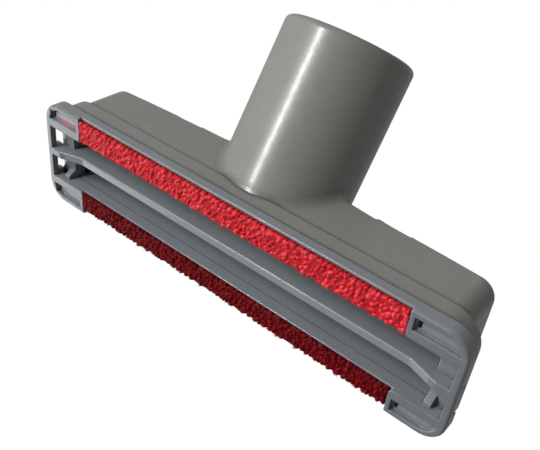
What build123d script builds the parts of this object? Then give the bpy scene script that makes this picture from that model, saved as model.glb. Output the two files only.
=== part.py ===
"""Upholstery nozzle for a vacuum cleaner: a box head with a leaning tube socket,
a separate sole plate with an arched centre rib, and two red pile strips.

Lengths are millimetres and angles degrees. +X runs along the head, +Y to its back,
+Z up, away from the upholstery. The origin is on the surface that the nozzle stands
on, under the middle of its footprint.
"""
import math
import os

from build123d import *

# Sole plate
SOLE_LENGTH = 145.0
SOLE_WIDTH = 34.2
SOLE_SIDE = 4.0            # height of the outer side wall
SOLE_CORNER_R = 6.5
SOLE_EDGE_R = 0.8          # rounding of the lower outer edge
SIDE_WALL = 1.5
TRAY = 3.6                 # thickness of the plate on both sides of the mouth
END_RAIL = 2.1             # rail between the mouth and each end

# Mouth, duct and centre rib
MOUTH_WIDTH = 18.0
DUCT_WALL = 1.2
DUCT_END_GAP = 5.4         # from each end rail to the inside of the duct's end wall
DUCT_TOP = 12.0
DUCT_STEP_Z = 4.9          # the duct widens a little above this line
DUCT_STEP = 0.15
DUCT_END_WALL = 2.0
ARCH_Z = 4.35              # underside of the duct's end walls
ARCH_FOOT_Z = 1.8
ARCH_FLAT = 13.0           # width of the flat part of that underside
ARCH_SLOPE = 1.4           # width of each sloped shoulder of the arch
SHELF_THICKNESS = 1.2      # ceiling between the duct's end walls and the end windows
SHELF_GAP = 0.2            # from that ceiling to the inside of the skirt
RIB_THICKNESS = 2.6
RIB_RECESS = 2.45          # how far the middle of the rib is set back
RIB_END = 3.8              # flush length at each end of the rib
RIB_RAMP = 7.7
RIB_BEND_R = 3.0
RIB_EDGE_R = 0.4

# End windows, which let air in when the sole lies flat
WINDOW_HALF_WIDTH = 7.7
WINDOW_SILL = 1.9
WINDOW_RISE = 1.0          # how far each window cuts up into the skirt

# Strip channels and corner pockets
FRONT_RIM = 0.8            # wall between the front strip and the sole's outer face
REAR_RIM = 1.4
CHANNEL_INNER_WALL = 0.5
CHANNEL_DEPTH = 2.6
RIM_SETBACK = 1.15         # how far the walls along the strips stand back from the sole
REAR_RIM_SETBACK = 2.4
PARTITION = 1.2            # wall between a strip and a pocket
PARTITION_R = 1.0          # its rounded corner at the mouth
POCKET_LENGTH = 12.5
POCKET_DEPTH = 1.3
POCKET_RIM = 1.6
POCKET_MOUTH_RIM = 2.6
POCKET_CORNER_R = 4.4
SLOT_WIDTH = 1.1
SLOT_LENGTH = 2.7
SLOT_INSET = 0.6
SLOT_DEPTH = 2.8

# Pile strips
PILE_PROUD = 0.4           # how far the pile stands out of the sole
PILE_CLEARANCE = 0.2
PILE_EDGE_R = 0.8
PILE_SPREAD = 0.5          # how far the pile spreads over the wall at the mouth

# Upper housing
SKIRT_INSET_X = 1.2        # the skirt stands this far inside the sole's ends
SKIRT_INSET_FRONT = 0.7
SKIRT_INSET_REAR = 0.2
SKIRT_FRONT_R = 8.7        # its corners at the front
SKIRT_REAR_R = 5.5
SHOULDER_Z = 9.8
SEAM_HEIGHT = 0.5          # shadow line between skirt and sole
SEAM_DEPTH = 0.8
STEP_X = 4.0               # how far the upper box stands back from the skirt's ends
STEP_Y = 0.5
BOX_CORNER_R = 5.0
ROOF_Z = 27.4              # roof height at the middle
ROOF_FALL = 2.5            # how much lower the roof is at its ends
ROOF_EDGE_R = 2.0
HOUSING_WALL = 1.8

# Tube socket
TUBE_OUTER_R = 19.5
BORE_R = 17.5
BORE_DEPTH = 34.0
THROAT_R = 16.0
TUBE_LEAN = 58.4           # from upright, towards the front
TUBE_LENGTH = 45.3         # from the centre of the domed closure to the end
DOME_DROP = 0.46           # how far that centre is below the roof's top
DOME_INSET = 5.3           # from the back of the dome to the rear wall's face
FOOT_R = 2.5               # blend between the tube's foot and the box
TUBE_LIP_R = 2.0
BORE_CHAMFER = 0.6

# Derived sizes
half_length = SOLE_LENGTH / 2
half_width = SOLE_WIDTH / 2
half_mouth = MOUTH_WIDTH / 2
rail_x = half_length - END_RAIL
pocket_x = rail_x - POCKET_LENGTH
channel_end = pocket_x - PARTITION
duct_x = rail_x - DUCT_END_GAP
ramp_out = rail_x - RIB_END
ramp_in = ramp_out - RIB_RAMP
duct_end = duct_x + DUCT_END_WALL
channel_in = half_mouth + CHANNEL_INNER_WALL
rims = {-1: FRONT_RIM, 1: REAR_RIM}
skirt_half_x = half_length - SKIRT_INSET_X
skirt_y = (-half_width + SKIRT_INSET_FRONT, half_width - SKIRT_INSET_REAR)
skirt_radii = (SKIRT_FRONT_R, SKIRT_REAR_R)
box_half_x = skirt_half_x - STEP_X
box_y = (skirt_y[0] + STEP_Y, skirt_y[1] - STEP_Y)
box_radii = (BOX_CORNER_R, BOX_CORNER_R)
shoulder_under = SHOULDER_Z - HOUSING_WALL
shelf_x = skirt_half_x - HOUSING_WALL - SHELF_GAP
shelf_top = ARCH_Z + SHELF_THICKNESS
crown_radius = (box_half_x ** 2 + ROOF_FALL ** 2) / (2 * ROOF_FALL)
lean = math.radians(TUBE_LEAN)
dome_y = box_y[1] - DOME_INSET - TUBE_OUTER_R
dome_z = ROOF_Z - DOME_DROP
end_y = dome_y - TUBE_LENGTH * math.sin(lean)
front_reach = (end_y + TUBE_LIP_R * math.sin(lean)
               - (TUBE_OUTER_R - TUBE_LIP_R) * math.cos(lean) - TUBE_LIP_R)
placing = Location((0, -(front_reach + half_width) / 2, PILE_PROUD))


def block(x0, x1, y0, y1, z0, z1):
    """A box given by its limits."""
    return Pos((x0 + x1) / 2, (y0 + y1) / 2, (z0 + z1) / 2) * Box(x1 - x0, y1 - y0, z1 - z0)


def slab(half_x, y_limits, radii, z0, z1, inset=0.0):
    """A plate whose front and rear corners have their own radii, all moved in by inset."""
    front, rear = y_limits[0] + inset, y_limits[1] - inset
    outline = Pos(0, (front + rear) / 2) * Rectangle(2 * (half_x - inset), rear - front)
    outline = fillet(outline.vertices().group_by(Axis.Y)[0], radii[0] - inset)
    outline = fillet(outline.vertices().group_by(Axis.Y)[-1], radii[1] - inset)
    return extrude(Pos(0, 0, z0) * outline, z1 - z0)


def lane(side, near, far, z0, z1, reach):
    """A straight bar along the head on one side of its middle, from near to far."""
    y_low, y_high = sorted((side * near, side * far))
    return block(-reach, reach, y_low, y_high, z0, z1)


def both_sides(shape):
    """A shape and its mirror image across the head's long middle plane."""
    return shape + mirror(shape, Plane.XZ)


def both_ends(shape):
    """A shape and its mirror image across the head's short middle plane."""
    return shape + mirror(shape, Plane.YZ)


def make_rib():
    """The centre rib: level with the sole at its ends and set back along the middle."""
    lower = [(-rail_x, 0), (-ramp_out, 0), (-ramp_in, RIB_RECESS),
             (ramp_in, RIB_RECESS), (ramp_out, 0), (rail_x, 0)]
    upper = [(rail_x, SOLE_SIDE), (shelf_x, SOLE_SIDE), (shelf_x, shelf_top),
             (duct_end, shelf_top), (duct_end, shoulder_under), (duct_x, shoulder_under),
             (duct_x, DUCT_TOP)]
    upper += [(-x, z) for x, z in reversed(upper)]
    face = make_face(Polyline(*lower, *upper, close=True))
    bends = [v for v in face.vertices()
             if 0 < abs(v.X) < rail_x - 0.01 and v.Y < RIB_RECESS + 0.01]
    face = fillet(bends, RIB_BEND_R)
    rib = extrude(Plane.XZ * face, RIB_THICKNESS / 2, both=True)
    lower_edges = [e for e in rib.edges() if e.center().Z < RIB_RECESS + 0.01
                   and abs(abs(e.center().Y) - RIB_THICKNESS / 2) < 0.01
                   and abs(e.center().X) < rail_x - 0.01]
    return fillet(lower_edges, RIB_EDGE_R)


def make_end_wall():
    """One end wall of the duct, with a low arch and the passage from the end window."""
    top = ARCH_FLAT / 2
    foot = top + ARCH_SLOPE
    half = half_mouth + DUCT_WALL
    points = [(-half, ARCH_FOOT_Z), (-foot, ARCH_FOOT_Z), (-top, ARCH_Z), (top, ARCH_Z),
              (foot, ARCH_FOOT_Z), (half, ARCH_FOOT_Z), (half, shoulder_under),
              (-half, shoulder_under)]
    face = make_face(Polyline(*points, close=True))
    wall = Pos(duct_x, 0, 0) * extrude(Plane.YZ * face, DUCT_END_WALL)
    passage = block(duct_end, shelf_x, -half, half, TRAY, shelf_top)
    passage -= block(duct_end, shelf_x, -half_mouth, half_mouth, TRAY, ARCH_Z)
    passage &= slab(skirt_half_x, skirt_y, skirt_radii, TRAY, shelf_top,
                    HOUSING_WALL + SHELF_GAP)
    return wall + passage


def make_sole():
    """The sole plate with its pockets, channels, duct and rib."""
    sole_y = (-half_width, half_width)
    flange = slab(half_length, sole_y, (SOLE_CORNER_R, SOLE_CORNER_R), 0, SOLE_SIDE)
    flange = fillet(flange.faces().sort_by(Axis.Z)[0].edges(), SOLE_EDGE_R)
    tray_y = half_width - SIDE_WALL
    tray_r = SOLE_CORNER_R - SIDE_WALL
    plate = flange - slab(rail_x, (-tray_y, tray_y), (tray_r, tray_r), TRAY, SOLE_SIDE)
    plate -= block(-rail_x, rail_x, -half_mouth, half_mouth, 0, TRAY)
    duct_side = lane(1, half_mouth, half_mouth + DUCT_WALL, TRAY, DUCT_TOP, duct_x)
    duct_side -= lane(1, half_mouth, half_mouth + DUCT_STEP, DUCT_STEP_Z, DUCT_TOP, duct_x)
    plate += both_sides(duct_side) + both_ends(make_end_wall())
    for side, setback in ((-1, RIM_SETBACK), (1, REAR_RIM_SETBACK)):
        channel_out = half_width - rims[side]
        plate -= lane(side, channel_in, channel_out, 0, CHANNEL_DEPTH, channel_end)
        plate -= lane(side, channel_out, half_width, 0, setback, channel_end)
        plate -= lane(side, half_mouth, channel_in, 0, RIM_SETBACK, channel_end)
    corner_x, corner_y = channel_end + PARTITION_R, half_mouth + PARTITION_R
    corner = block(channel_end, corner_x, half_mouth, corner_y, 0, RIM_SETBACK)
    corner -= Pos(corner_x, corner_y, RIM_SETBACK / 2) * Cylinder(PARTITION_R, RIM_SETBACK)
    plate -= both_ends(both_sides(corner))
    pocket_in = half_mouth + POCKET_MOUTH_RIM
    pocket_out = half_width - POCKET_RIM
    inside = slab(rail_x, (-pocket_out, pocket_out), (POCKET_CORNER_R, POCKET_CORNER_R),
                  0, POCKET_DEPTH)
    for side in (-1, 1):
        for low, high in ((-rail_x, -pocket_x), (pocket_x, rail_x)):
            y_low, y_high = sorted((side * pocket_in, side * pocket_out))
            plate -= inside & block(low, high, y_low, y_high, 0, POCKET_DEPTH)
            slot_low = low + SLOT_INSET
            middle = (y_low + y_high) / 2
            plate -= block(slot_low, slot_low + SLOT_WIDTH, middle - SLOT_LENGTH / 2,
                           middle + SLOT_LENGTH / 2, 0, SLOT_DEPTH)
    window = block(rail_x, half_length, RIB_THICKNESS / 2, WINDOW_HALF_WIDTH,
                   WINDOW_SILL, SOLE_SIDE)
    plate -= both_ends(both_sides(window))
    return plate + make_rib()


def make_strip(side):
    """One pile strip: its body in the channel and the pile, which spreads at the mouth."""
    outer = half_width - rims[side] - PILE_CLEARANCE
    reach = channel_end - PILE_CLEARANCE
    body = lane(side, channel_in + PILE_CLEARANCE, outer, 0, CHANNEL_DEPTH, reach)
    pile = lane(side, channel_in - PILE_SPREAD, outer, -PILE_PROUD,
                RIM_SETBACK - PILE_CLEARANCE, reach)
    pile = fillet(pile.faces().sort_by(Axis.Z)[0].edges(), PILE_EDGE_R)
    return body + pile


def crowned(z0, inset):
    """The upper box below its crowned roof, with its faces moved in by inset."""
    body = slab(box_half_x, box_y, box_radii, z0, ROOF_Z - inset, inset)
    roll = Cylinder(crown_radius - inset, 4 * half_width, rotation=(90, 0, 0))
    return body & (Pos(0, 0, ROOF_Z - crown_radius) * roll)


def make_tube_outer():
    """The tube's outside with its domed closure, turned about its own +Z axis."""
    lip = TUBE_LENGTH - TUBE_LIP_R
    turn = math.sqrt(0.5)
    dome = ThreePointArc((0, 0, -TUBE_OUTER_R),
                         (TUBE_OUTER_R * turn, 0, -TUBE_OUTER_R * turn), (TUBE_OUTER_R, 0, 0))
    side = Line((TUBE_OUTER_R, 0, 0), (TUBE_OUTER_R, 0, lip))
    rounding = ThreePointArc(
        (TUBE_OUTER_R, 0, lip),
        (TUBE_OUTER_R - TUBE_LIP_R * (1 - turn), 0, lip + TUBE_LIP_R * turn),
        (TUBE_OUTER_R - TUBE_LIP_R, 0, TUBE_LENGTH))
    rest = Polyline((TUBE_OUTER_R - TUBE_LIP_R, 0, TUBE_LENGTH), (0, 0, TUBE_LENGTH),
                    (0, 0, -TUBE_OUTER_R))
    return revolve(make_face(dome + side + rounding + rest), Axis.Z)


def make_tube_inner():
    """The bore that takes the machine's tube, its stop and the throat below it."""
    turn = math.sqrt(0.5)
    foot = TUBE_LENGTH - BORE_DEPTH
    over = TUBE_LENGTH + TUBE_LIP_R
    dome = ThreePointArc((0, 0, -THROAT_R), (THROAT_R * turn, 0, -THROAT_R * turn),
                         (THROAT_R, 0, 0))
    side = Polyline((THROAT_R, 0, 0), (THROAT_R, 0, foot), (BORE_R, 0, foot),
                    (BORE_R, 0, TUBE_LENGTH - BORE_CHAMFER),
                    (BORE_R + BORE_CHAMFER, 0, TUBE_LENGTH),
                    (BORE_R + BORE_CHAMFER, 0, over), (0, 0, over), (0, 0, -THROAT_R))
    return revolve(make_face(dome + side), Axis.Z)


def make_housing():
    """The upper housing: skirt, crowned box and leaning tube, hollow throughout."""
    tube_plane = Plane(origin=(0, dome_y, dome_z), x_dir=(1, 0, 0),
                       z_dir=(0, -math.sin(lean), math.cos(lean)))
    box = crowned(SOLE_SIDE, 0)
    box = fillet(box.faces().sort_by(Axis.Z)[-1].edges(), ROOF_EDGE_R)
    tube = tube_plane * make_tube_outer()
    shell = box + tube
    foot = [e for e in shell.edges()
            if all(solid.distance_to(e @ t) < 0.01 for solid in (box, tube)
                   for t in (0.2, 0.5, 0.8))]
    shell = fillet(foot, FOOT_R)
    shell += slab(skirt_half_x, skirt_y, skirt_radii, SOLE_SIDE, SHOULDER_Z)
    shell -= slab(skirt_half_x, skirt_y, skirt_radii, 0, shoulder_under, HOUSING_WALL)
    shell -= crowned(0, HOUSING_WALL)
    shell -= tube_plane * make_tube_inner()
    seam_top = SOLE_SIDE + SEAM_HEIGHT
    seam = slab(skirt_half_x, skirt_y, skirt_radii, SOLE_SIDE, seam_top)
    seam -= slab(skirt_half_x, skirt_y, skirt_radii, SOLE_SIDE, seam_top, SEAM_DEPTH)
    shell -= seam
    window = block(box_half_x, half_length, -WINDOW_HALF_WIDTH, WINDOW_HALF_WIDTH,
                   SOLE_SIDE, SOLE_SIDE + WINDOW_RISE)
    return shell - both_ends(window)


parts = {
    "upper_housing": make_housing(),
    "sole_plate": make_sole(),
    "lint_strip_front": make_strip(-1),
    "lint_strip_rear": make_strip(1),
}

os.makedirs("parts", exist_ok=True)
for name, solid in parts.items():
    export_step(placing * solid, f"parts/{name}.step")
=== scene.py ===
import logging
import math
import random
from dataclasses import dataclass, field
from enum import Enum

import bpy
from mathutils import Euler, Matrix, Vector, noise


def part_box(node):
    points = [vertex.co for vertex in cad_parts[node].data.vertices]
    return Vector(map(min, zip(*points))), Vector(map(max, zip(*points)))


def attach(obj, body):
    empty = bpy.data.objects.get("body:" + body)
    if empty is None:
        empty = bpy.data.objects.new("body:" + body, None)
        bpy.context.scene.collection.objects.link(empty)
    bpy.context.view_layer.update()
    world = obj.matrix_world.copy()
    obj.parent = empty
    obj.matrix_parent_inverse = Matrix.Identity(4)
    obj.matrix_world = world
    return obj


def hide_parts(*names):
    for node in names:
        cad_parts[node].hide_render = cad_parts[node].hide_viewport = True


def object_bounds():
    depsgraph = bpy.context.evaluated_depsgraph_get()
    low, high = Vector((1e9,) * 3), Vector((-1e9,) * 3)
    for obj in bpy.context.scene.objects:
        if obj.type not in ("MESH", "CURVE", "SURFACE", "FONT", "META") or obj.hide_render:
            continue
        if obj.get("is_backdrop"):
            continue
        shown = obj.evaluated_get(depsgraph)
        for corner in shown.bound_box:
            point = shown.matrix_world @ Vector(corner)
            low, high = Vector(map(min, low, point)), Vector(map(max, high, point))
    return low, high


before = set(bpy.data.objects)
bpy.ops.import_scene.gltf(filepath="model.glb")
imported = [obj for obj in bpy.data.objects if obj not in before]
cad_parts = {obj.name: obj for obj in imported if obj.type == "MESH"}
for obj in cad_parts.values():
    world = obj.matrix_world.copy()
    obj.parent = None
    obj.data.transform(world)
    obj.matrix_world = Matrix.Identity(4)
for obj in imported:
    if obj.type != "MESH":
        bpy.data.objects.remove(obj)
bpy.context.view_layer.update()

LOG = logging.getLogger("upholstery_nozzle")
MM = 0.001
# The direction of the tube, from the head to its open end.
TUBE_AXIS = (0.0, -0.852, 0.524)
# How far a strip reaches past its channel over the mouth, in millimetres.
MOUTH_OVERHANG = 0.70
# The share of a loop's reach that lies behind its root.
LOOP_BACK = 0.18
# The direction that the sections of all strands are squared to.
STRAND_UP = (0.3, 0.1, 0.95)
Colour = tuple[float, float, float]


def mm(*values: float) -> Vector:
    """Turn three lengths in millimetres into a vector in metres."""
    return Vector(values) * MM


class Nap(Enum):
    """The way the loops of a strip lean. Both strips of the nozzle lean to its mouth."""

    TO_BACK = 1.0
    TO_FRONT = -1.0


@dataclass
class Nodes:
    """A short way to lay out the nodes of one material or world.

    Attributes:
        tree: the node tree that is filled.
    """

    tree: bpy.types.NodeTree

    def add(self, kind: str, inputs: dict[str | int, object] | None = None,
            **settings: object) -> bpy.types.Node:
        """Add one node.

        Args:
            kind: Blender's name of the node's type.
            inputs: values or output sockets, by input name or number.
            **settings: properties of the node itself.

        Returns:
            The new node.
        """
        node = self.tree.nodes.new(kind)
        for name, value in settings.items():
            setattr(node, name, value)
        for name, value in (inputs or {}).items():
            if isinstance(value, bpy.types.NodeSocket):
                self.tree.links.new(value, node.inputs[name])
            else:
                node.inputs[name].default_value = value
        return node

    def noise(self, where: bpy.types.NodeSocket, per_metre: float, detail: float = 3.0,
              roughness: float = 0.5) -> bpy.types.NodeSocket:
        """Add a noise texture.

        Args:
            where: the coordinates it reads.
            per_metre: how many features it has in a metre.
            detail: how many finer layers it has.
            roughness: how strong the finer layers are.

        Returns:
            The noise value, about 0.5 on average.
        """
        node = self.add("ShaderNodeTexNoise", {
            "Vector": where, "Scale": per_metre, "Detail": detail, "Roughness": roughness})
        return node.outputs["Fac"]

    def stretched(self, where: bpy.types.NodeSocket, scale: tuple[float, float, float],
                  turn: tuple[float, float, float] = (0.0, 0.0, 0.0)) -> bpy.types.NodeSocket:
        """Stretch and turn coordinates.

        Args:
            where: the coordinates.
            scale: the factor along each axis.
            turn: the turn about each axis in degrees.

        Returns:
            The new coordinates.
        """
        node = self.add("ShaderNodeMapping", {
            "Vector": where, "Scale": scale, "Rotation": [math.radians(a) for a in turn]})
        return node.outputs["Vector"]

    def spread(self, value: bpy.types.NodeSocket, low: float, high: float,
               to_low: float = 0.0, to_high: float = 1.0) -> bpy.types.NodeSocket:
        """Map a range of values onto another, held at its ends.

        Args:
            value: the value that is mapped.
            low: the value that becomes to_low.
            high: the value that becomes to_high.
            to_low: the first new limit.
            to_high: the second new limit.

        Returns:
            The mapped value.
        """
        node = self.add("ShaderNodeMapRange", {
            "Value": value, "From Min": low, "From Max": high, "To Min": to_low,
            "To Max": to_high}, clamp=True)
        return node.outputs["Result"]

    def maths(self, operation: str, a: object, b: object = 0.0) -> bpy.types.NodeSocket:
        """Add one sum, product or other step.

        Args:
            operation: Blender's name of the operation.
            a: the first value or socket.
            b: the second value or socket.

        Returns:
            The result.
        """
        return self.add("ShaderNodeMath", {0: a, 1: b}, operation=operation).outputs[0]

    def blend(self, share: object, a: object, b: object) -> bpy.types.NodeSocket:
        """Mix two colours.

        Args:
            share: how much of the second colour is used, from 0 to 1.
            a: the first colour or socket.
            b: the second colour or socket.

        Returns:
            The mixed colour.
        """
        node = self.add("ShaderNodeMix", data_type="RGBA")
        # Inputs 0, 6 and 7 are the share and the two colours, and output 2 is the mixed colour.
        for socket, value in ((node.inputs[0], share), (node.inputs[6], a), (node.inputs[7], b)):
            if isinstance(value, bpy.types.NodeSocket):
                self.tree.links.new(value, socket)
            else:
                socket.default_value = (*value, 1.0) if isinstance(value, tuple) else value
        return node.outputs[2]


def new_material(name: str) -> tuple[bpy.types.Material, Nodes]:
    """Make an empty node material.

    Args:
        name: the material's name.

    Returns:
        The material and the nodes helper of its tree.
    """
    material = bpy.data.materials.new(name)
    material.use_nodes = True
    material.node_tree.nodes.clear()
    return material, Nodes(material.node_tree)


@dataclass(frozen=True)
class Mark:
    """A thin smear that use has left on a moulding.

    Attributes:
        middle: its middle in the moulding's coordinates, in millimetres.
        half: how far it reaches from there along X, Y and Z, in millimetres.
        colour: its colour.
        strength: how much it covers, from 0 to 1.
        solid: the share of its reach in which it doesn't fade yet.
        breaks: how many breaks it has in a metre.
    """

    middle: tuple[float, float, float]
    half: tuple[float, float, float]
    colour: Colour
    strength: float
    solid: float = 0.2
    breaks: float = 900.0

    def mask(self, nodes: Nodes, place: bpy.types.NodeSocket) -> bpy.types.NodeSocket:
        """Add the nodes that tell how much the smear covers.

        Args:
            nodes: the tree's helper.
            place: the coordinates.

        Returns:
            The share that is covered.
        """
        away = nodes.add("ShaderNodeVectorMath", {0: place, 1: mm(*self.middle)},
                         operation="SUBTRACT").outputs["Vector"]
        away = nodes.add("ShaderNodeVectorMath", {0: away, 1: mm(*self.half)},
                         operation="DIVIDE").outputs["Vector"]
        away = nodes.add("ShaderNodeVectorMath", {0: away}, operation="LENGTH").outputs["Value"]
        covered = nodes.spread(away, 1.0, self.solid, 0.0, self.strength)
        broken = nodes.spread(nodes.noise(place, self.breaks), 0.25, 0.55, 0.3, 1.0)
        return nodes.maths("MULTIPLY", covered, broken)


@dataclass(frozen=True)
class PlasticPattern:
    """How many features in a metre each pattern of a moulding has.

    Attributes:
        clouds: its flow clouds.
        specks: its pale specks.
        wear_and_highlight: the breaks in the wearing and painted highlight of its edges.
        rubbing: the patches of its rubbed foot.
        dulling: its duller patches.
        grain: its fine grain.
        ripples: its slow ripples.
        scratch_run: its scratches, along their run.
        scratch_across: its scratches, across their run.
    """

    clouds: float = 90.0
    specks: float = 1900.0
    wear_and_highlight: float = 260.0
    rubbing: float = 150.0
    dulling: float = 340.0
    grain: float = 3600.0
    ripples: float = 55.0
    scratch_run: float = 30.0
    scratch_across: float = 2600.0


@dataclass(frozen=True)
class MouldedPlastic:
    """Satin moulded plastic: fine grain, faint flow marks, painted light and shade, edges paled
    by wearing.

    Attributes:
        name: the material's name.
        body: the colour of the plastic.
        cloud: the colour of its faint flow clouds.
        edge: the colour of its edges paled by wearing and by a painted highlight, of its specks,
            its scratches and its paled foot.
        roughness: how dull the surface is.
        grain: how deep the fine grain is, in millimetres.
        ripple: how deep the slow ripples are, in millimetres.
        edge_round: the rounding that edges catch the light with, in millimetres.
        speck: how strongly the specks show, from 0 to 1.
        scratch: how strongly the fine scratches show, from 0 to 1.
        shade_reach: how far from an inner corner the painted shade reaches, in millimetres.
        painted_shade: how strong that painted shade is, from 0 to 1.
        shade_level: how bright the fullest painted shade is, as a share of the plastic.
        rub_and_light_height: how high above the lowest point the plastic is paled, in
            millimetres.
        rub_and_light_fade: the height over which the paling fades above that, in millimetres.
        rub_and_light: how pale the down-facing plastic becomes there, partly by rubbing and
            partly as painted light, from 0 to 1.
        wear_and_highlight: how far its edges take the edge colour, as wearing and painted
            highlight, from 0 to 1.
        polish: how much less rough its edges are where they take the edge colour.
        skin: how glossy the thin skin is that the mould leaves, from 0 to 1.
        skin_roughness: how dull that skin is.
        ior: the plastic's index of refraction.
        pattern: how close its patterns are.
        marks: smears on it.
    """

    name: str
    body: Colour
    cloud: Colour
    edge: Colour
    roughness: float
    grain: float = 0.006
    ripple: float = 0.05
    edge_round: float = 0.22
    speck: float = 0.15
    scratch: float = 0.15
    shade_reach: float = 2.0
    painted_shade: float = 1.0
    shade_level: float = 0.15
    rub_and_light_height: float = 0.0
    rub_and_light_fade: float = 0.4
    rub_and_light: float = 0.0
    wear_and_highlight: float = 0.55
    polish: float = 0.05
    skin: float = 0.26
    skin_roughness: float = 0.16
    ior: float = 1.47
    pattern: PlasticPattern = PlasticPattern()
    marks: tuple[Mark, ...] = ()

    def make(self, foot: float) -> bpy.types.Material:
        """Build the material.

        Args:
            foot: the height of the moulding's lowest point in its own coordinates, in metres.

        Returns:
            The material.
        """
        material, nodes = new_material(self.name)
        place = nodes.add("ShaderNodeTexCoord").outputs["Object"]
        flat = nodes.add("ShaderNodeNewGeometry").outputs["Normal"]
        rounded = nodes.add("ShaderNodeBevel", {"Radius": self.edge_round * MM},
                            samples=6).outputs["Normal"]
        # The edge mask marks wearing and a painted highlight on the edges.
        worn_and_highlit = self.worn_and_highlit_edges(nodes, place, rounded, flat)
        lines = self.scratches(nodes, place)
        colour = self.clean_colour(nodes, place)
        for share in (nodes.maths("MULTIPLY", worn_and_highlit, self.wear_and_highlight),
                      # The low faces that look down are paled by rubbing and by painted light.
                      self.rubbed_and_lit_foot(nodes, place, flat, foot),
                      nodes.maths("MULTIPLY", lines, self.scratch)):
            colour = nodes.blend(share, colour, self.edge)
        # Painted shade: inner corners are darkened by ambient occlusion.
        colour = nodes.blend(self.crease_shade(nodes), colour,
                             tuple(self.shade_level * value for value in self.body))
        for mark in self.marks:
            colour = nodes.blend(mark.mask(nodes, place), colour, mark.colour)
        shader = nodes.add("ShaderNodeBsdfPrincipled", {
            "Base Color": colour, "Roughness": self.dullness(nodes, place, lines, worn_and_highlit),
            "Normal": self.relief(nodes, place, rounded), "IOR": self.ior,
            "Coat Weight": self.skin, "Coat Roughness": self.skin_roughness,
            "Coat Normal": rounded})
        nodes.add("ShaderNodeOutputMaterial", {"Surface": shader.outputs["BSDF"]})
        return material

    def clean_colour(self, nodes: Nodes, place: bpy.types.NodeSocket) -> bpy.types.NodeSocket:
        """Add the plastic's own colour, with its flow clouds and specks.

        Args:
            nodes: the tree's helper.
            place: the coordinates.

        Returns:
            The colour.
        """
        clouds = nodes.spread(nodes.noise(place, self.pattern.clouds, 4.0), 0.35, 0.7)
        specks = nodes.spread(nodes.noise(place, self.pattern.specks, 2.0), 0.62, 0.78,
                              0.0, self.speck)
        return nodes.blend(specks, nodes.blend(clouds, self.body, self.cloud), self.edge)

    def worn_and_highlit_edges(self, nodes: Nodes, place: bpy.types.NodeSocket,
                   rounded: bpy.types.NodeSocket,
                   flat: bpy.types.NodeSocket) -> bpy.types.NodeSocket:
        """Add the wearing and the painted highlight of the edges, which are where the rounded
        normal leaves the flat one.

        Args:
            nodes: the tree's helper.
            place: the coordinates.
            rounded: the normal with rounded edges.
            flat: the mesh's own normal.

        Returns:
            How far the surface takes the edge colour as wearing and painted highlight, from 0 to
            1.
        """
        facing = nodes.add("ShaderNodeVectorMath", {0: rounded, 1: flat},
                           operation="DOT_PRODUCT").outputs["Value"]
        broken = nodes.spread(nodes.noise(place, self.pattern.wear_and_highlight), 0.3, 0.65)
        return nodes.maths("MULTIPLY", nodes.spread(facing, 0.985, 0.86), broken)

    def rubbed_and_lit_foot(self, nodes: Nodes, place: bpy.types.NodeSocket,
                    flat: bpy.types.NodeSocket, foot: float) -> bpy.types.NodeSocket:
        """Add the paling of the lowest faces that look down: rubbing, and painted light from
        below.

        Args:
            nodes: the tree's helper.
            place: the coordinates.
            flat: the mesh's own normal.
            foot: the height of the lowest point, in metres.

        Returns:
            How pale the surface is made by rubbing and painted light, from 0 to 1.
        """
        height = nodes.add("ShaderNodeSeparateXYZ", {0: place}).outputs["Z"]
        low = nodes.spread(height, foot + (self.rub_and_light_height + self.rub_and_light_fade) * MM,
                           foot + self.rub_and_light_height * MM)
        patchy = nodes.spread(nodes.noise(place, self.pattern.rubbing, 4.0), 0.2, 0.6, 0.6, 1.0)
        down = nodes.add("ShaderNodeSeparateXYZ", {0: flat}).outputs["Z"]
        level = nodes.spread(down, -0.75, -0.95, 0.0, self.rub_and_light)
        return nodes.maths("MULTIPLY", nodes.maths("MULTIPLY", low, patchy), level)

    def crease_shade(self, nodes: Nodes) -> bpy.types.NodeSocket:
        """Add the painted shade of inner corners, from ambient occlusion.

        Args:
            nodes: the tree's helper.

        Returns:
            How thick the grime is, from 0 to 1.
        """
        open_share = nodes.add("ShaderNodeAmbientOcclusion", {"Distance": self.shade_reach * MM},
                               samples=8).outputs["AO"]
        return nodes.spread(open_share, 0.98, 0.79, 0.0, self.painted_shade)

    def dullness(self, nodes: Nodes, place: bpy.types.NodeSocket,
                 lines: bpy.types.NodeSocket, worn_and_highlit: bpy.types.NodeSocket) -> bpy.types.NodeSocket:
        """Add the roughness: patchy, more on scratches and less on the edges that take the edge
        colour.

        Args:
            nodes: the tree's helper.
            place: the coordinates.
            lines: the mask of the scratches.
            worn_and_highlit: how far the surface takes the edge colour as wearing and painted
                highlight.

        Returns:
            The roughness.
        """
        dull = nodes.spread(nodes.noise(place, self.pattern.dulling, 5.0), 0.25, 0.75,
                            self.roughness - 0.05, self.roughness + 0.07)
        dull = nodes.maths("ADD", dull, nodes.maths("MULTIPLY", lines, 0.04))
        return nodes.maths("SUBTRACT", dull, nodes.maths("MULTIPLY", worn_and_highlit, self.polish))

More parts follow.
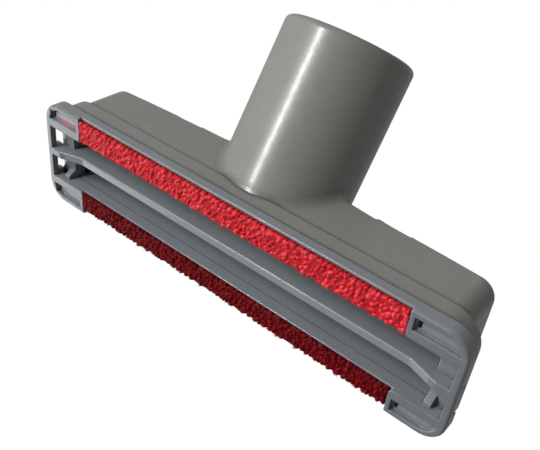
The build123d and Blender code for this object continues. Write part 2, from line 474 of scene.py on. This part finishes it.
    def relief(self, nodes: Nodes, place: bpy.types.NodeSocket,
               rounded: bpy.types.NodeSocket) -> bpy.types.NodeSocket:
        """Add the fine grain and the slow ripples.

        Args:
            nodes: the tree's helper.
            place: the coordinates.
            rounded: the normal with rounded edges.

        Returns:
            The normal.
        """
        grain = nodes.add("ShaderNodeBump", {
            "Strength": 0.7, "Distance": self.grain * MM,
            "Height": nodes.noise(place, self.pattern.grain, 2.0, 0.6), "Normal": rounded})
        ripples = nodes.add("ShaderNodeBump", {
            "Strength": 0.5, "Distance": self.ripple * MM,
            "Height": nodes.noise(place, self.pattern.ripples, 2.0),
            "Normal": grain.outputs["Normal"]})
        return ripples.outputs["Normal"]

    def scratches(self, nodes: Nodes, place: bpy.types.NodeSocket) -> bpy.types.NodeSocket:
        """Add fine scratches that run two ways, each along one level of a stretched noise.

        Args:
            nodes: the tree's helper.
            place: the coordinates.

        Returns:
            A mask, 1 on the scratches.
        """
        across = self.pattern.scratch_across
        masks = []
        for turn, level in (((12.0, 24.0, 31.0), 0.72), ((-28.0, 8.0, -52.0), 0.69)):
            where = nodes.stretched(place, (self.pattern.scratch_run, across, across), turn)
            away = nodes.maths("SUBTRACT", nodes.noise(where, 1.0, 1.0), level)
            masks.append(nodes.spread(nodes.maths("ABSOLUTE", away), 0.012, 0.0))
        return nodes.maths("MAXIMUM", masks[0], masks[1])


@dataclass(frozen=True)
class RedPile:
    """Short synthetic pile, with painted shade at the root and a painted highlight at each tip.

    Attributes:
        name: the material's name.
        root: the painted shade deep between the tufts.
        yarn: the main colour.
        tip: the painted highlight where the loops' ends catch the light.
        lie: how far the fibres are turned from the strip's short side, in degrees.
        sheen: how much the fibres glow at a low angle.
        shine: how strongly they mirror the light.
        fibres: how many fibres a metre holds along X, Y and Z, before they are turned.
        fibre_depth: how far the fibres stand off the yarn, in millimetres.
    """

    name: str
    root: Colour
    yarn: Colour
    tip: Colour
    lie: float
    sheen: float = 0.2
    shine: float = 0.25
    fibres: tuple[float, float, float] = (5200.0, 1500.0, 5200.0)
    fibre_depth: float = 0.08

    def make(self) -> bpy.types.Material:
        """Build the material from the pile's own rise and tone.

        Returns:
            The material.
        """
        material, nodes = new_material(self.name)
        rise = nodes.add("ShaderNodeAttribute", attribute_name="rise").outputs["Fac"]
        tone = nodes.add("ShaderNodeAttribute", attribute_name="tone").outputs["Fac"]
        place = nodes.add("ShaderNodeTexCoord").outputs["Object"]
        # Painted shade towards the root and a painted highlight on the pale tip of each loop.
        colour = nodes.blend(nodes.spread(rise, 0.1, 0.75), self.root, self.yarn)
        tip_highlight = nodes.maths("MULTIPLY", nodes.spread(rise, 0.7, 1.0), tone)
        colour = nodes.blend(tip_highlight, colour, self.tip)
        turned = nodes.stretched(place, self.fibres, (0.0, 0.0, -self.lie))
        fibres = nodes.noise(turned, 1.0, 2.0)
        # Painted shade between the fibres: their streaks darken towards the root colour.
        colour = nodes.blend(nodes.spread(fibres, 0.62, 0.36, 0.0, 0.35), colour, self.root)
        bump = nodes.add("ShaderNodeBump", {
            "Strength": 0.35, "Distance": self.fibre_depth * MM, "Height": fibres})
        shader = nodes.add("ShaderNodeBsdfPrincipled", {
            "Base Color": colour, "Roughness": 0.5, "Specular IOR Level": self.shine,
            "Sheen Weight": self.sheen, "Sheen Roughness": 0.4,
            "Sheen Tint": (1.0, 0.35, 0.35, 1.0), "Normal": bump.outputs["Normal"]})
        nodes.add("ShaderNodeOutputMaterial", {"Surface": shader.outputs["BSDF"]})
        return material


@dataclass(frozen=True)
class BackingCloth:
    """The woven cloth that the pile stands on.

    Attributes:
        name: the material's name.
        thread: the colour of its threads.
        gap: the colour between the threads, a painted shade.
        weave: how close the weave is, as the wave texture's scale.
        thread_depth: how far a thread stands off the gaps, in millimetres.
    """

    name: str
    thread: Colour
    gap: Colour
    weave: float = 520.0
    thread_depth: float = 0.1

    def make(self) -> bpy.types.Material:
        """Build the material from two crossed sets of threads.

        Returns:
            The material.
        """
        material, nodes = new_material(self.name)
        place = nodes.add("ShaderNodeTexCoord").outputs["Object"]
        threads = [nodes.add("ShaderNodeTexWave", {
            "Vector": place, "Scale": self.weave, "Distortion": 0.6, "Detail": 1.0},
            bands_direction=way).outputs["Fac"] for way in ("X", "Y")]
        cloth = nodes.maths("MAXIMUM", threads[0], threads[1])
        bump = nodes.add("ShaderNodeBump", {
            "Strength": 0.8, "Distance": self.thread_depth * MM, "Height": cloth})
        # Painted shade: the gaps between the threads are darker than the threads.
        shader = nodes.add("ShaderNodeBsdfPrincipled", {
            "Base Color": nodes.blend(cloth, self.gap, self.thread), "Roughness": 0.85,
            "Normal": bump.outputs["Normal"]})
        nodes.add("ShaderNodeOutputMaterial", {"Surface": shader.outputs["BSDF"]})
        return material


@dataclass(frozen=True)
class PaleFloor:
    """A pale studio floor that only the camera sees, and only from above.

    Light passes through it, so that the sole can be lit and seen from below.

    Attributes:
        name: the material's name.
        colour: the floor's colour.
        paler: how much brighter its pale clouds are.
        clouds: how many clouds it has in a metre.
        fade: where it starts to fade into the white surroundings and where it has, in metres.
    """

    name: str = "pale_floor"
    colour: Colour = (0.84, 0.84, 0.83)
    paler: float = 1.04
    clouds: float = 9.0
    fade: tuple[float, float] = (0.16, 0.75)

    def make(self) -> bpy.types.Material:
        """Build the material.

        Returns:
            The material.
        """
        material, nodes = new_material(self.name)
        place = nodes.add("ShaderNodeTexCoord").outputs["Object"]
        cloud = nodes.spread(nodes.noise(place, self.clouds), 0.3, 0.7)
        pale = tuple(min(1.0, value * self.paler) for value in self.colour)
        top = nodes.add("ShaderNodeBsdfPrincipled", {
            "Base Color": nodes.blend(cloud, self.colour, pale), "Roughness": 0.8})
        clear = nodes.add("ShaderNodeBsdfTransparent")
        seen = nodes.add("ShaderNodeLightPath").outputs["Is Camera Ray"]
        under = nodes.add("ShaderNodeNewGeometry").outputs["Backfacing"]
        share = nodes.maths("MULTIPLY", seen, nodes.maths("SUBTRACT", 1.0, under))
        away = nodes.add("ShaderNodeVectorMath", {0: place}, operation="LENGTH").outputs["Value"]
        share = nodes.maths("MULTIPLY", share, nodes.spread(away, self.fade[1], self.fade[0]))
        mix = nodes.add("ShaderNodeMixShader", {
            0: share, 1: clear.outputs["BSDF"], 2: top.outputs["BSDF"]})
        nodes.add("ShaderNodeOutputMaterial", {"Surface": mix.outputs["Shader"]})
        return material


PINK_SMEAR = Mark(middle=(-63.8, 7.3, 1.6), half=(5.8, 1.4, 2.5), colour=(0.52, 0.14, 0.24),
                  strength=0.55)
HOUSING_GREY = MouldedPlastic(
    name="housing_grey", body=(0.176, 0.179, 0.161), cloud=(0.186, 0.189, 0.171),
    edge=(0.24, 0.24, 0.22), roughness=0.30)
# The sole's edge colour is much paler than its body: on its edges it is a painted highlight.
SOLE_GREY = MouldedPlastic(
    name="sole_grey", body=(0.168, 0.181, 0.194), cloud=(0.178, 0.191, 0.204),
    edge=(0.44, 0.47, 0.51), roughness=0.36, edge_round=0.50, shade_reach=1.0, painted_shade=0.35,
    rub_and_light_height=2.4, rub_and_light=0.05, wear_and_highlight=0.65, polish=0.18, marks=(PINK_SMEAR,))
# The front strip's pile is the lit copy of the same red material.
PILE_LIT = RedPile(
    name="red_pile_lit_copy", root=(0.19, 0.003, 0.006), yarn=(0.545, 0.008, 0.015),
    tip=(0.90, 0.055, 0.078), lie=26.0)
# The rear strip's pile is a painted-shade copy of the front one's, about a quarter as bright.
PILE_SHADED = RedPile(
    name="red_pile_painted_shade", root=(0.033, 0.001, 0.002), yarn=(0.130, 0.0010, 0.0032),
    tip=(0.24, 0.003, 0.008), lie=-26.0, sheen=0.0, shine=0.10)
PILE_BACK = BackingCloth(
    name="pile_backing", thread=(0.16, 0.004, 0.008), gap=(0.03, 0.002, 0.002))


@dataclass
class PhotographView:
    """The camera, placed from the front lower edge of the sole.

    Attributes:
        offset: the camera's place from the middle of that edge, in millimetres.
        turn: the camera's turn about X, Y and Z, in degrees.
        lens: the focal length, in millimetres.
        sensor: the width of the sensor, in millimetres.
        clip: the nearest and farthest distance that is seen, in metres.
    """

    offset: tuple[float, float, float] = (100.652, -108.406, -121.010)
    turn: tuple[float, float, float] = (148.5298, -39.0552, -7.5493)
    lens: float = 49.65
    sensor: float = 36.0
    clip: tuple[float, float] = (0.01, 20.0)

    def build(self) -> bpy.types.Object:
        """Make the camera and set it as the scene's.

        Returns:
            The camera.
        """
        sole_low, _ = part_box("sole_plate")
        data = bpy.data.cameras.new("photograph_view")
        data.sensor_width = self.sensor
        data.lens = self.lens
        data.clip_start, data.clip_end = self.clip
        camera = bpy.data.objects.new("photograph_view", data)
        camera.location = Vector((0.0, sole_low.y, sole_low.z)) + mm(*self.offset)
        camera.rotation_euler = Euler([math.radians(angle) for angle in self.turn])
        bpy.context.scene.collection.objects.link(camera)
        bpy.context.scene.camera = camera
        return camera


@dataclass(frozen=True)
class SoftLight:
    """One rectangular soft light that points at the nozzle.

    Attributes:
        name: the light's name.
        towards: the direction from the nozzle to the light.
        along: the direction that the light's long side follows.
        distance: how far away it is, in metres.
        size: its width and length in metres.
        power: its power in watts.
        glints: whether glossy surfaces mirror it.
    """

    name: str
    towards: tuple[float, float, float]
    along: tuple[float, float, float]
    distance: float
    size: tuple[float, float]
    power: float
    glints: bool = True

    def build(self, aim: Vector) -> bpy.types.Object:
        """Make the light.

        Args:
            aim: the point that it shines at.

        Returns:
            The light.
        """
        data = bpy.data.lights.new(self.name, "AREA")
        data.shape = "RECTANGLE"
        data.size, data.size_y = self.size
        data.energy = self.power
        light = bpy.data.objects.new(self.name, data)
        light.visible_glossy = self.glints
        back = Vector(self.towards).normalized()
        side = Vector(self.along).cross(back).normalized()
        light.location = aim + back * self.distance
        light.rotation_mode = "QUATERNION"
        turned = Matrix((side, back.cross(side), back)).transposed()
        light.rotation_quaternion = turned.to_quaternion()
        bpy.context.scene.collection.objects.link(light)
        return light


@dataclass
class Studio:
    """The pale floor, the soft lights and the even white surroundings.

    Attributes:
        floor_half: half the side of the floor, in metres.
        dome: the strength of the light that comes from all round.
        lights: the soft lights.
    """

    floor_half: float = 4.0
    dome: float = 0.25
    lights: list[SoftLight] = field(default_factory=lambda: [
        SoftLight("key_strip", (-0.42, -0.55, -0.71), TUBE_AXIS, 1.2, (0.13, 0.70), 12.2),
        SoftLight("key_soft", (-0.80, -0.40, -0.45), TUBE_AXIS, 1.2, (0.75, 0.80), 9.9,
                  glints=False),
        SoftLight("side_fill", (-0.80, 0.42, -0.42), (0.0, 1.0, 0.0), 0.8, (0.4, 0.4), 1.4),
        SoftLight("front_fill", (0.46, -0.59, -0.66), (1.0, 0.0, 0.0), 0.8, (0.4, 0.4), 0.3,
                  glints=False),
        SoftLight("top", (-0.20, 0.15, 0.97), (1.0, 0.0, 0.0), 0.75, (0.5, 0.6), 4.4,
                  glints=False),
    ])

    def build(self) -> None:
        """Make the floor, the lights and the world."""
        self.build_floor()
        low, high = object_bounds()
        aim = (low + high) / 2
        for light in self.lights:
            light.build(aim)
        self.build_world()

    def build_floor(self) -> None:
        """Make the floor, on which the nozzle stands."""
        reach = self.floor_half
        mesh = bpy.data.meshes.new("floor")
        corners = [(-reach, -reach, 0.0), (reach, -reach, 0.0), (reach, reach, 0.0),
                   (-reach, reach, 0.0)]
        mesh.from_pydata(corners, [], [(0, 1, 2, 3)])
        mesh.materials.append(PaleFloor().make())
        floor = bpy.data.objects.new("floor", mesh)
        bpy.context.scene.collection.objects.link(floor)
        floor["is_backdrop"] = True

    def build_world(self) -> None:
        """Make the surroundings: white to the eye, and softer as a light."""
        world = bpy.data.worlds.new("studio")
        world.use_nodes = True
        world.node_tree.nodes.clear()
        nodes = Nodes(world.node_tree)
        white = nodes.add("ShaderNodeBackground", {"Color": (1, 1, 1, 1), "Strength": 1.0})
        soft = nodes.add("ShaderNodeBackground", {"Color": (1, 1, 1, 1), "Strength": self.dome})
        seen = nodes.add("ShaderNodeLightPath").outputs["Is Camera Ray"]
        mix = nodes.add("ShaderNodeMixShader", {
            0: seen, 1: soft.outputs["Background"], 2: white.outputs["Background"]})
        nodes.add("ShaderNodeOutputWorld", {"Surface": mix.outputs["Shader"]})
        bpy.context.scene.world = world
        bpy.context.scene.view_settings.view_transform = "Standard"


@dataclass
class MouldedPart:
    """A plastic moulding whose CAD shape is kept and which gets its finish here.

    Attributes:
        node: the CAD node.
        finish: its plastic.
    """

    node: str
    finish: MouldedPlastic

    def dress(self) -> bpy.types.Object:
        """Give the node its material.

        Returns:
            The node's object.
        """
        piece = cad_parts[self.node]
        piece.data.materials.clear()
        foot = min(vertex.co.z for vertex in piece.data.vertices)
        piece.data.materials.append(self.finish.make(foot))
        return piece


@dataclass
class YarnMesh:
    """The points and faces of many thin strands, gathered into one mesh.

    Attributes:
        points: the points, in millimetres.
        faces: the faces.
        rise: each point's share of the pile's height.
        tone: each point's paleness.
    """

    points: list[Vector] = field(default_factory=list)
    faces: list[tuple[int, ...]] = field(default_factory=list)
    rise: list[float] = field(default_factory=list)
    tone: list[float] = field(default_factory=list)

    def add_strand(self, path: list[Vector], radii: list[float], rises: list[float],
                   tone: float, sides: int = 4) -> None:
        """Add one strand.

        Args:
            path: the strand's centre line.
            radii: its radius at each point of that line.
            rises: the share of the pile's height at each point.
            tone: the strand's paleness, from 0 to 1.
            sides: how many sides its section has.
        """
        first = len(self.points)
        last = len(path) - 1
        for i, middle in enumerate(path):
            ahead = (path[min(i + 1, last)] - path[max(i - 1, 0)]).normalized()
            out = ahead.cross(Vector(STRAND_UP)).normalized()
            over = out.cross(ahead)
            for side in range(sides):
                angle = side * math.tau / sides
                self.points.append(
                    middle + (out * math.cos(angle) + over * math.sin(angle)) * radii[i])
                self.rise.append(rises[i])
                self.tone.append(tone)
        for ring in range(last):
            here = first + ring * sides
            for side in range(sides):
                after = (side + 1) % sides
                self.faces.append((here + side, here + after, here + sides + after,
                                   here + sides + side))

    def make(self, name: str, material: bpy.types.Material) -> bpy.types.Object:
        """Turn the strands into an object.

        Args:
            name: the object's name.
            material: its material.

        Returns:
            The object.
        """
        mesh = bpy.data.meshes.new(name)
        mesh.from_pydata([tuple(point * MM) for point in self.points], [], self.faces)
        for layer, values in (("rise", self.rise), ("tone", self.tone)):
            mesh.attributes.new(layer, "FLOAT", "POINT").data.foreach_set("value", values)
        mesh.shade_smooth()
        mesh.materials.append(material)
        piece = bpy.data.objects.new(name, mesh)
        bpy.context.scene.collection.objects.link(piece)
        return piece


@dataclass(frozen=True)
class Loop:
    """One leaning loop of yarn, with its lengths in millimetres.

    Attributes:
        root: where it leaves the backing.
        lean: the level direction in which it leans.
        top: the height of its tip, in the nozzle's frame.
        tone: how pale it is, from 0 to 1.
        reach: how far it leans.
        thick: the radius of its yarn.
        bow: how far it bows to one side.
    """

    root: Vector
    lean: Vector
    top: float
    tone: float
    reach: float
    thick: float
    bow: float

    @property
    def across(self) -> Vector:
        """The level direction across the lean."""
        return Vector((-self.lean.y, self.lean.x, 0.0))

    def under(self, share: float) -> Vector:
        """Find a point on the backing under the loop.

        Args:
            share: how far along the loop the point is, from 0 to 1.

        Returns:
            The point.
        """
        return self.root + self.lean * (self.reach * (share - LOOP_BACK))


@dataclass
class PileStrip:
    """One strip of red pile: a cloth backing, matted fibres and loops of yarn that lean.

    Every length is in millimetres. The pile points down, so the strip's face is at its lowest z.

    Attributes:
        node: the CAD node that the strip replaces.
        nap: the way the loops lean.
        finish: the yarn's material.
        seed: the seed of the loops' small differences.
        pitch: the distance between loops along and across the strip.
        scatter: how far loops stray from their places along and across the strip.
        reach: how far a loop leans.
        skew: how far it turns along the strip, in degrees.
        skew_scatter: how far loops stray from that turn, in degrees.
        yarn_r: the radius of the yarn.
        top_scatter: how far loops fall short of the strip's face.
        bow: how far loops bow to one side.
        tone: the mean and the spread of the loops' paleness.
        patches: how many patches of paler or darker loops a millimetre holds.
        patch_tone: how much paler or darker a patch is.
        fuzz: how many loose fibres stand off each loop.
        fibre_r: the radius of a loose fibre.
        bed: how far behind the face the matted fibres between the loops begin.
        bed_cell: the distance between the points of the matted fibres.
        bed_edge: how far they stay inside the space for the yarn.
        bed_mouth: how far behind the face they begin at the mouth.
        bed_scatter: how far their points stray to the sides and up or down.
        margin: the distance from the strip's edges to the first loops.
        mouth_gap: how far the yarn stays from the strip's edge at the mouth.
        cloth: the thickness of the backing.
        cloth_ease: how far the backing's long edges are eased.
        cloth_wave: how far the backing's lower side waves.
    """

    node: str
    nap: Nap
    finish: RedPile
    seed: int
    pitch: tuple[float, float] = (1.50, 1.28)
    scatter: tuple[float, float] = (0.32, 0.22)
    reach: float = 2.0
    skew: float = 30.0
    skew_scatter: float = 32.0
    yarn_r: float = 0.60
    top_scatter: float = 0.20
    bow: float = 0.2
    tone: tuple[float, float] = (0.4, 0.35)
    patches: float = 0.42
    patch_tone: float = 1.3
    fuzz: int = 5
    fibre_r: float = 0.06
    bed: float = 0.62
    bed_cell: float = 0.45
    bed_edge: float = 0.12
    bed_mouth: float = 0.28
    bed_scatter: tuple[float, float] = (0.12, 0.09)
    margin: float = 0.15
    mouth_gap: float = 0.30
    cloth: float = 0.9
    cloth_ease: float = 0.25
    cloth_wave: float = 0.04

    def build(self) -> list[bpy.types.Object]:
        """Make the strip.

        Returns:
            The loops and the backing.
        """
        low, high = (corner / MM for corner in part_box(self.node))
        pile = self.build_loops(low, high)
        back = self.build_backing(low, high)
        for piece in (pile, back):
            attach(piece, "root")
        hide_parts(self.node)
        return [pile, back]

    def build_backing(self, low: Vector, high: Vector) -> bpy.types.Object:
        """Make the cloth that the loops stand on, with eased long edges.

        Args:
            low: the strip's lowest corner.
            high: the strip's highest corner.

        Returns:
            The backing.
        """
        near, far = self.root_limits(low, high)
        base, top, ease = high.z - self.cloth, high.z, self.cloth_ease
        section = [(near + ease, base), (far - ease, base), (far, base + ease),
                   (far, top - ease), (far - ease, top), (near + ease, top),
                   (near, top - ease), (near, base + ease)]
        steps, count = 40, len(section)
        points, faces = [], []
        for step in range(steps + 1):
            x = low.x + (high.x - low.x) * step / steps
            wave = self.cloth_wave * math.sin(step * 1.9)
            points += [mm(x, y, z + (wave if z < base + ease else 0.0)) for y, z in section]
        for step in range(steps):
            here = step * count
            for i in range(count):
                j = (i + 1) % count
                faces.append((here + i, here + count + i, here + count + j, here + j))
        faces.append(tuple(range(count)))
        faces.append(tuple(reversed(range(steps * count, (steps + 1) * count))))
        mesh = bpy.data.meshes.new(f"{self.node}_backing")
        mesh.from_pydata([tuple(point) for point in points], [], faces)
        mesh.materials.append(PILE_BACK.make())
        piece = bpy.data.objects.new(f"{self.node}_backing", mesh)
        bpy.context.scene.collection.objects.link(piece)
        return piece

    def root_limits(self, low: Vector, high: Vector) -> tuple[float, float]:
        """Find the part of the strip's width that lies in its channel.

        Args:
            low: the strip's lowest corner.
            high: the strip's highest corner.

        Returns:
            The lowest and highest y of the backing.
        """
        if self.nap is Nap.TO_BACK:
            return low.y, high.y - MOUTH_OVERHANG
        return low.y + MOUTH_OVERHANG, high.y

    def yarn_limits(self, low: Vector, high: Vector) -> tuple[Vector, Vector]:
        """Find the space that the yarn may fill, which ends short of the mouth's edge.

        Args:
            low: the strip's lowest corner.
            high: the strip's highest corner.

        Returns:
            The space's lowest and highest corners.
        """
        gap = Vector((0.0, self.mouth_gap, 0.0))
        if self.nap is Nap.TO_BACK:
            return low, high - gap
        return low + gap, high

    def build_loops(self, low: Vector, high: Vector) -> bpy.types.Object:
        """Make the matted fibres and all the loops as one mesh.

        Args:
            low: the strip's lowest corner.
            high: the strip's highest corner.

        Returns:
            The pile.
        """
        rng = random.Random(self.seed)
        yarn = YarnMesh()
        near, far = self.root_limits(low, high)
        width, length = far - near - 2 * self.margin, high.x - low.x - 2 * self.margin
        rows, columns = round(width / self.pitch[1]), round(length / self.pitch[0])
        root_z = high.z - self.cloth
        limits = self.yarn_limits(low, high)
        self.add_bed(rng, yarn, limits)
        for row in range(rows + 1):
            for column in range(columns + 1):
                # Every other row is offset by half the distance between loops.
                shift = 0.25 if row % 2 else -0.25
                along = min(max((column + shift) / columns, 0.0), 1.0)
                x = low.x + self.margin + length * along + rng.gauss(0, self.scatter[0])
                y = near + self.margin + width * row / rows + rng.gauss(0, self.scatter[1])
                loop = self.pick_loop(rng, Vector((x, y, root_z)), low.z)
                self.add_loop(yarn, loop, limits)
                self.add_fuzz(rng, yarn, loop, limits)
        return yarn.make(f"{self.node}_pile", self.finish.make())

    def add_bed(self, rng: random.Random, yarn: YarnMesh,
                limits: tuple[Vector, Vector]) -> None:
        """Add the lumpy matted fibres that fill the pile between its loops.

        Args:
            rng: the source of small differences.
            yarn: the mesh that is added to.
            limits: the lowest and highest corners of the space for the yarn.
        """
        low, high = limits
        edge = self.bed_edge
        length, width = high.x - low.x - 2 * edge, high.y - low.y - 2 * edge
        columns, rows = round(length / self.bed_cell), round(width / self.bed_cell)
        mouth_row = rows - 1 if self.nap is Nap.TO_BACK else 1
        first = len(yarn.points)
        for row in range(rows + 1):
            for column in range(columns + 1):
                rim = row in (0, rows) or column in (0, columns)
                height = high.z - self.cloth
                if not rim:
                    height = low.z + self.bed + rng.gauss(0, self.bed_scatter[1])
                    if row == mouth_row:
                        height = low.z + self.bed_mouth
                stray = 0.0 if rim else self.bed_scatter[0]
                x = low.x + edge + length * column / columns + rng.uniform(-stray, stray)
                y = low.y + edge + width * row / rows + rng.uniform(-stray, stray)
                yarn.points.append(Vector((x, y, height)))
                # The rise sets how far the bed takes the root's painted shade; its rim takes the
                # most.
                yarn.rise.append(0.2 if rim else rng.uniform(0.4, 0.7))
                yarn.tone.append(0.0)
        for row in range(rows):
            for column in range(columns):
                here = first + row * (columns + 1) + column
                yarn.faces.append((here, here + columns + 1, here + columns + 2, here + 1))

    def pick_loop(self, rng: random.Random, root: Vector, lowest: float) -> Loop:
        """Pick the small differences of one loop.

        Args:
            rng: the source of small differences.
            root: where the loop leaves the backing.
            lowest: the height of the strip's lowest point.

        Returns:
            The loop.
        """
        turn = math.radians(self.skew + rng.gauss(0, self.skew_scatter))
        lean = Vector((-math.sin(turn), self.nap.value * math.cos(turn), 0.0))
        top = lowest + self.yarn_r + abs(rng.gauss(0, self.top_scatter))
        patch = noise.noise(root * self.patches + Vector((0.0, 0.0, self.seed)))
        tone = min(1.0, max(0.0, rng.gauss(*self.tone) + self.patch_tone * patch))
        reach = self.reach * rng.uniform(0.85, 1.1)
        thick = self.yarn_r * rng.uniform(0.85, 1.08)
        return Loop(root, lean, top, tone, reach, thick, rng.gauss(0, self.bow))

    def add_loop(self, yarn: YarnMesh, loop: Loop, limits: tuple[Vector, Vector]) -> None:
        """Add the yarn of one loop.

        Args:
            yarn: the mesh that is added to.
            loop: the loop.
            limits: the lowest and highest corners of the space for the yarn.
        """
        rings = 8
        path, radii, rises = [], [], []
        for ring in range(rings):
            share = ring / (rings - 1)
            # The loop leaves the backing steeply and comes back short of it.
            height = math.sin(math.pi * (0.02 + 0.94 * share)) ** 0.6
            point = loop.under(share)
            point += loop.across * (loop.bow * math.sin(math.pi * share))
            point.z += (loop.top - loop.root.z) * height
            radius = loop.thick * (0.6 + 0.4 * math.sin(math.pi * share))
            path.append(self.kept_in(point, limits, radius))
            radii.append(radius)
            rises.append(height)
        yarn.add_strand(path, radii, rises, loop.tone, sides=8)

    def add_fuzz(self, rng: random.Random, yarn: YarnMesh, loop: Loop,
                 limits: tuple[Vector, Vector]) -> None:
        """Add the loose fibres that stand off one loop.

        Args:
            rng: the source of small differences.
            yarn: the mesh that is added to.
            loop: the loop.
            limits: the lowest and highest corners of the space for the yarn.
        """
        radii = [self.fibre_r, self.fibre_r, self.fibre_r / 3]
        for _ in range(self.fuzz):
            foot = loop.under(rng.uniform(0.2, 0.85)) + loop.across * rng.uniform(-0.3, 0.3)
            foot.z = loop.top
            tip = foot + loop.lean * rng.uniform(0.2, 0.6) + loop.across * rng.gauss(0, 0.2)
            tip.z = loop.top - self.yarn_r - rng.uniform(-0.05, 0.10)
            middle = (foot + tip) / 2
            middle.z = tip.z
            fibre = [self.kept_in(point, limits, self.fibre_r) for point in (foot, middle, tip)]
            yarn.add_strand(fibre, radii, [0.85, 0.95, 1.0], loop.tone, sides=3)

    @staticmethod
    def kept_in(point: Vector, limits: tuple[Vector, Vector], radius: float) -> Vector:
        """Hold a point of the yarn's centre line inside the space for the yarn.

        Args:
            point: the point.
            limits: that space's lowest and highest corners.
            radius: the yarn's radius at the point.

        Returns:
            The held point.
        """
        low, high = limits
        return Vector([min(max(value, a + radius), b - radius)
                       for value, a, b in zip(point, low, high)])


def main() -> None:
    """Build the camera, the studio and the nozzle's pieces in order."""
    logging.basicConfig(level=logging.INFO, format="%(name)s: %(message)s")
    camera = PhotographView().build()
    LOG.info("camera at %s", tuple(round(v, 4) for v in camera.location))
    studio = Studio()
    studio.build()
    LOG.info("studio lit by %d soft lights", len(studio.lights))
    for part in (MouldedPart("upper_housing", HOUSING_GREY),
                 MouldedPart("sole_plate", SOLE_GREY)):
        piece = part.dress()
        LOG.info("%s dressed in %s", piece.name, part.finish.name)
    for strip in (PileStrip("lint_strip_front", Nap.TO_BACK, PILE_LIT, seed=11),
                  PileStrip("lint_strip_rear", Nap.TO_FRONT, PILE_SHADED, seed=23)):
        for piece in strip.build():
            LOG.info("%s built with %d faces", piece.name, len(piece.data.polygons))


if __name__ == "__main__":
    main()
